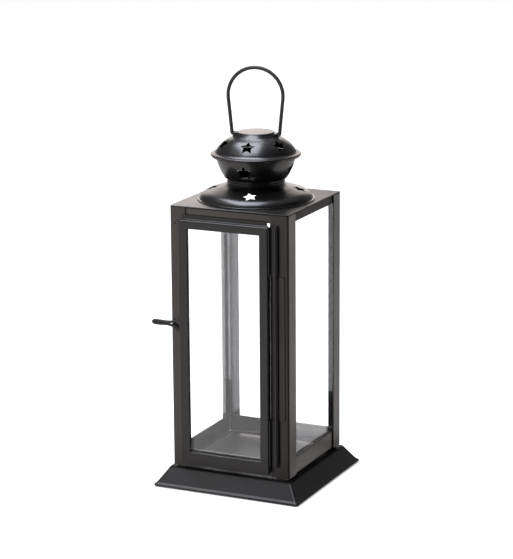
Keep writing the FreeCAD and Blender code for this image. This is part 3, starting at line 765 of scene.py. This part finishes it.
star_radius = 0.0045
star_waist = 0.53
punch_length = 0.006
thin_sheet = 0.00035
spun_sheet = 0.0005
spun_black = powder_coat("spun_black_coat", (0.004, 0.004, 0.0042), 0.26, 0.000006, 1.65, dust_light=0.001)
# Painted shade inside the chimney: the gloss drops almost to nothing on faces that look towards the axis.
tree = spun_black.node_tree
place = add_node(tree, "TexCoord", {}, "Object")
normal = add_node(tree, "TexCoord", {}, "Normal")
outward = add_node(tree, "VectorMath", {0: place, 1: (1, 1, 0)}, operation="MULTIPLY")
facing_out = add_node(tree, "VectorMath", {0: outward, 1: normal}, "Value", operation="DOT_PRODUCT")
painted_inner_shade = share(tree, facing_out, -0.004, -0.001, 0.03, 0.5)
tree.links.new(painted_inner_shade, tree.nodes["Principled BSDF"].inputs["Specular IOR Level"])
hood_low, hood_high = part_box("chimney_hood")
hood_height = hood_high.z - hood_low.z
foot_radius = hood_high.x - 0.0006
wall_radius = hood_high.x - 0.0018
neck_radius = 0.0163
hood_shares = [
    (0, 1), (0, 0.86), (0.042, 0.79), (0.117, 0.72), (0.293, 0.635), (0.476, 0.545),
    (0.658, 0.455), (0.802, 0.37), (0.905, 0.265), (0.96, 0.17),
]
hood_wide = wall_radius - neck_radius
outline = [(neck_radius + out * hood_wide, hood_low.z + up * hood_height) for out, up in hood_shares]
outline += [(wall_radius, hood_low.z + spun_sheet), (foot_radius, hood_low.z + spun_sheet)]
hood = spun("spun_hood", outline, (0, len(hood_shares), len(hood_shares) + 1))
give_thickness(hood, thin_sheet)
cut_with(hood, star_punches(outline, neck_radius + 0.54 * hood_wide, 4, 16.8, 16))
finish_piece(hood, spun_black, "black_steel", "lantern_body", "chimney_hood")

# Neck ring: a half-round bead pressed over the neck, which hides where the bowl's
# collar is pushed into the hood.
ring_radius = 0.0006
ring_low, ring_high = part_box("neck_ring")
ring_z = (ring_low.z + ring_high.z) / 2
ring_inner = ring_high.x - ring_radius
turns = [math.radians(-90 + 15 * i) for i in range(13)]
outline = [(ring_inner + ring_radius * math.cos(a), ring_z + ring_radius * math.sin(a)) for a in turns]
outline.append(outline[0])
ring = spun("bead_ring", outline, (0, 12, 13))
finish_piece(ring, spun_black, "black_steel", "lantern_body", "neck_ring")

# Chimney bowl: spun from thin sheet with a collar below, a flaring side punched with
# stars and a flat flange that the cap is pressed on.
bowl_low, bowl_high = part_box("chimney_bowl")
bowl_rim = bowl_high.z - spun_sheet
bowl_floor = bowl_low.z + 0.0026
bowl_depth = bowl_rim - bowl_floor
floor_radius = 0.0182
mouth_radius = 0.0229
flare = mouth_radius - floor_radius
collar = neck_radius - spun_sheet - 0.00005
bead = 0.00075
bead_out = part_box("chimney_cap")[1].x - bead
bowl_shares = [
    (1, 0), (0.97, 0.12), (0.87, 0.28), (0.72, 0.44), (0.53, 0.6), (0.31, 0.76),
    (0.13, 0.875), (0, 0.95), (-0.2, 1),
]
outline = [(bead_out, bowl_rim)]
outline += [(floor_radius + out * flare, bowl_rim - down * bowl_depth) for out, down in bowl_shares]
outline += [(collar, bowl_floor), (collar, bowl_low.z)]
bowl = spun("flared_bowl", outline, (0, 1, len(bowl_shares), len(bowl_shares) + 1, len(bowl_shares) + 2))
round_edges(bowl, 0.0004, 3, 60)
give_thickness(bowl, spun_sheet)
cut_with(bowl, star_punches(outline, floor_radius + 0.59 * flare, 4, 5.5))
finish_piece(bowl, spun_black, "black_steel", "lantern_body", "chimney_bowl")

# Cap: a spun dome punched with stars, with its edge rolled into a bead, a raised flat
# boss on top and two short eyelets in the boss for the bail.
cap_turn = math.radians(10.5)
cap_low, cap_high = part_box("chimney_cap")
bead_z = cap_low.z + bead
shoulder_radius = 0.0142
shoulder = cap_low.z + 0.0106
boss_radius = 0.0106
boss_wide = shoulder_radius - boss_radius
boss_high = cap_high.z - shoulder
boss_shares = [(-0.14, 0), (0.015, 0.05), (0.14, 0.235), (0.585, 0.78)]
dome_shares = [(0, 0), (0.17, 0.09), (0.32, 0.2), (0.48, 0.34), (0.63, 0.52), (0.74, 0.69), (0.84, 0.85)]
outline = [(0, cap_high.z)]
outline += [(boss_radius + out * boss_wide, cap_high.z - down * boss_high) for out, down in boss_shares]
outline += [(shoulder_radius + out * (bead_out - shoulder_radius), shoulder - down * (shoulder - bead_z))
            for out, down in dome_shares]
dome = list(outline)
turns = [math.radians(75 - 25 * i) for i in range(10)]
outline += [(bead_out + bead * math.cos(a), bead_z + bead * math.sin(a)) for a in turns]
cap = spun("domed_cap", outline, (0, 1, 4, 5))
give_thickness(cap, thin_sheet)


def eyelet_rods(radius, start, end):
    """Two rods through the boss, where the bail's eyelets are."""
    rods = []
    for way in (-1, 1):
        bpy.ops.object.select_all(action="DESELECT")
        bpy.ops.mesh.primitive_cylinder_add(vertices=48, radius=radius, depth=end - start,
                                            location=(way * (start + end) / 2, 0, pivot_z),
                                            rotation=(0, math.pi / 2, 0))
        rods.append(bpy.context.object)
    return joined("rods", rods)


bail_wire = 0.00105
bail_end = boss_radius - 0.0008
eyelet_bore = bail_wire + 0.0001
eyelet_wall = 0.0005
eyelet_root = 0.0003
eyelet_tip = 0.0024
pivot_z = cap_high.z - eyelet_wall - eyelet_root - bail_wire
cut_with(cap, eyelet_rods(eyelet_bore, bail_end, shoulder_radius + 0.001))
eyelets = eyelet_rods(eyelet_bore + eyelet_wall, boss_radius + eyelet_root, boss_radius + eyelet_tip)
cut_with(eyelets, eyelet_rods(eyelet_bore, boss_radius, shoulder_radius))
round_edges(eyelets, 0.00015, 2, 50)
cap = joined("domed_cap", [cap, eyelets])
cap.rotation_euler[2] = cap_turn
star_ring = shoulder_radius + 0.44 * (bead_out - shoulder_radius)
choose(cap)
bpy.ops.object.transform_apply(location=True, rotation=True, scale=True)
cut_with(cap, star_punches(dome, star_ring, 6, 10.5))
finish_piece(cap, spun_black, "black_steel", "lantern_body", "chimney_cap")

# Bail: one loop of steel wire, bent to a round arch with two leaning legs, whose hooked
# ends turn in the cap's eyelets. Its coat is a little browner.
bail_brown = powder_coat("bail_coat", (0.048, 0.042, 0.034), 0.42, 0.00001, 1.35)
arch = 0.01625
lean = math.radians(5.7)
hook = 0.0012
arch_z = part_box("bail_handle")[1].z - bail_wire - arch
spring_x = arch * math.cos(lean)
spring_z = arch_z - arch * math.sin(lean)
knee_z = pivot_z + hook * (1 - math.sin(lean))
knee_x = spring_x - (spring_z - knee_z) * math.tan(lean)
heel_x = knee_x - hook * math.cos(lean)
half_loop = [(bail_end, pivot_z), ((bail_end + heel_x) / 2, pivot_z), (heel_x, pivot_z)]
for i in range(1, 5):
    swing = math.radians(90) - (math.radians(90) - lean) * i / 4
    half_loop.append((heel_x + hook * math.cos(swing), pivot_z + hook - hook * math.sin(swing)))
for part in (0.12, 0.35, 0.65, 0.88):
    half_loop.append((knee_x + (spring_x - knee_x) * part, knee_z + (spring_z - knee_z) * part))
half_loop += [(arch * math.cos(a), arch_z + arch * math.sin(a))
              for a in (math.radians(-5.7 + 95.7 * i / 8) for i in range(8))]
loop = [(x, 0, z) for x, z in half_loop]
loop += [(0, 0, arch_z + arch)]
loop += [(-x, 0, z) for x, z in reversed(half_loop)]
bail = wire("bail_loop", loop, bail_wire, 6)
bail.rotation_euler[2] = cap_turn
finish_piece(bail, bail_brown, "black_steel", "bail", "bail_handle")
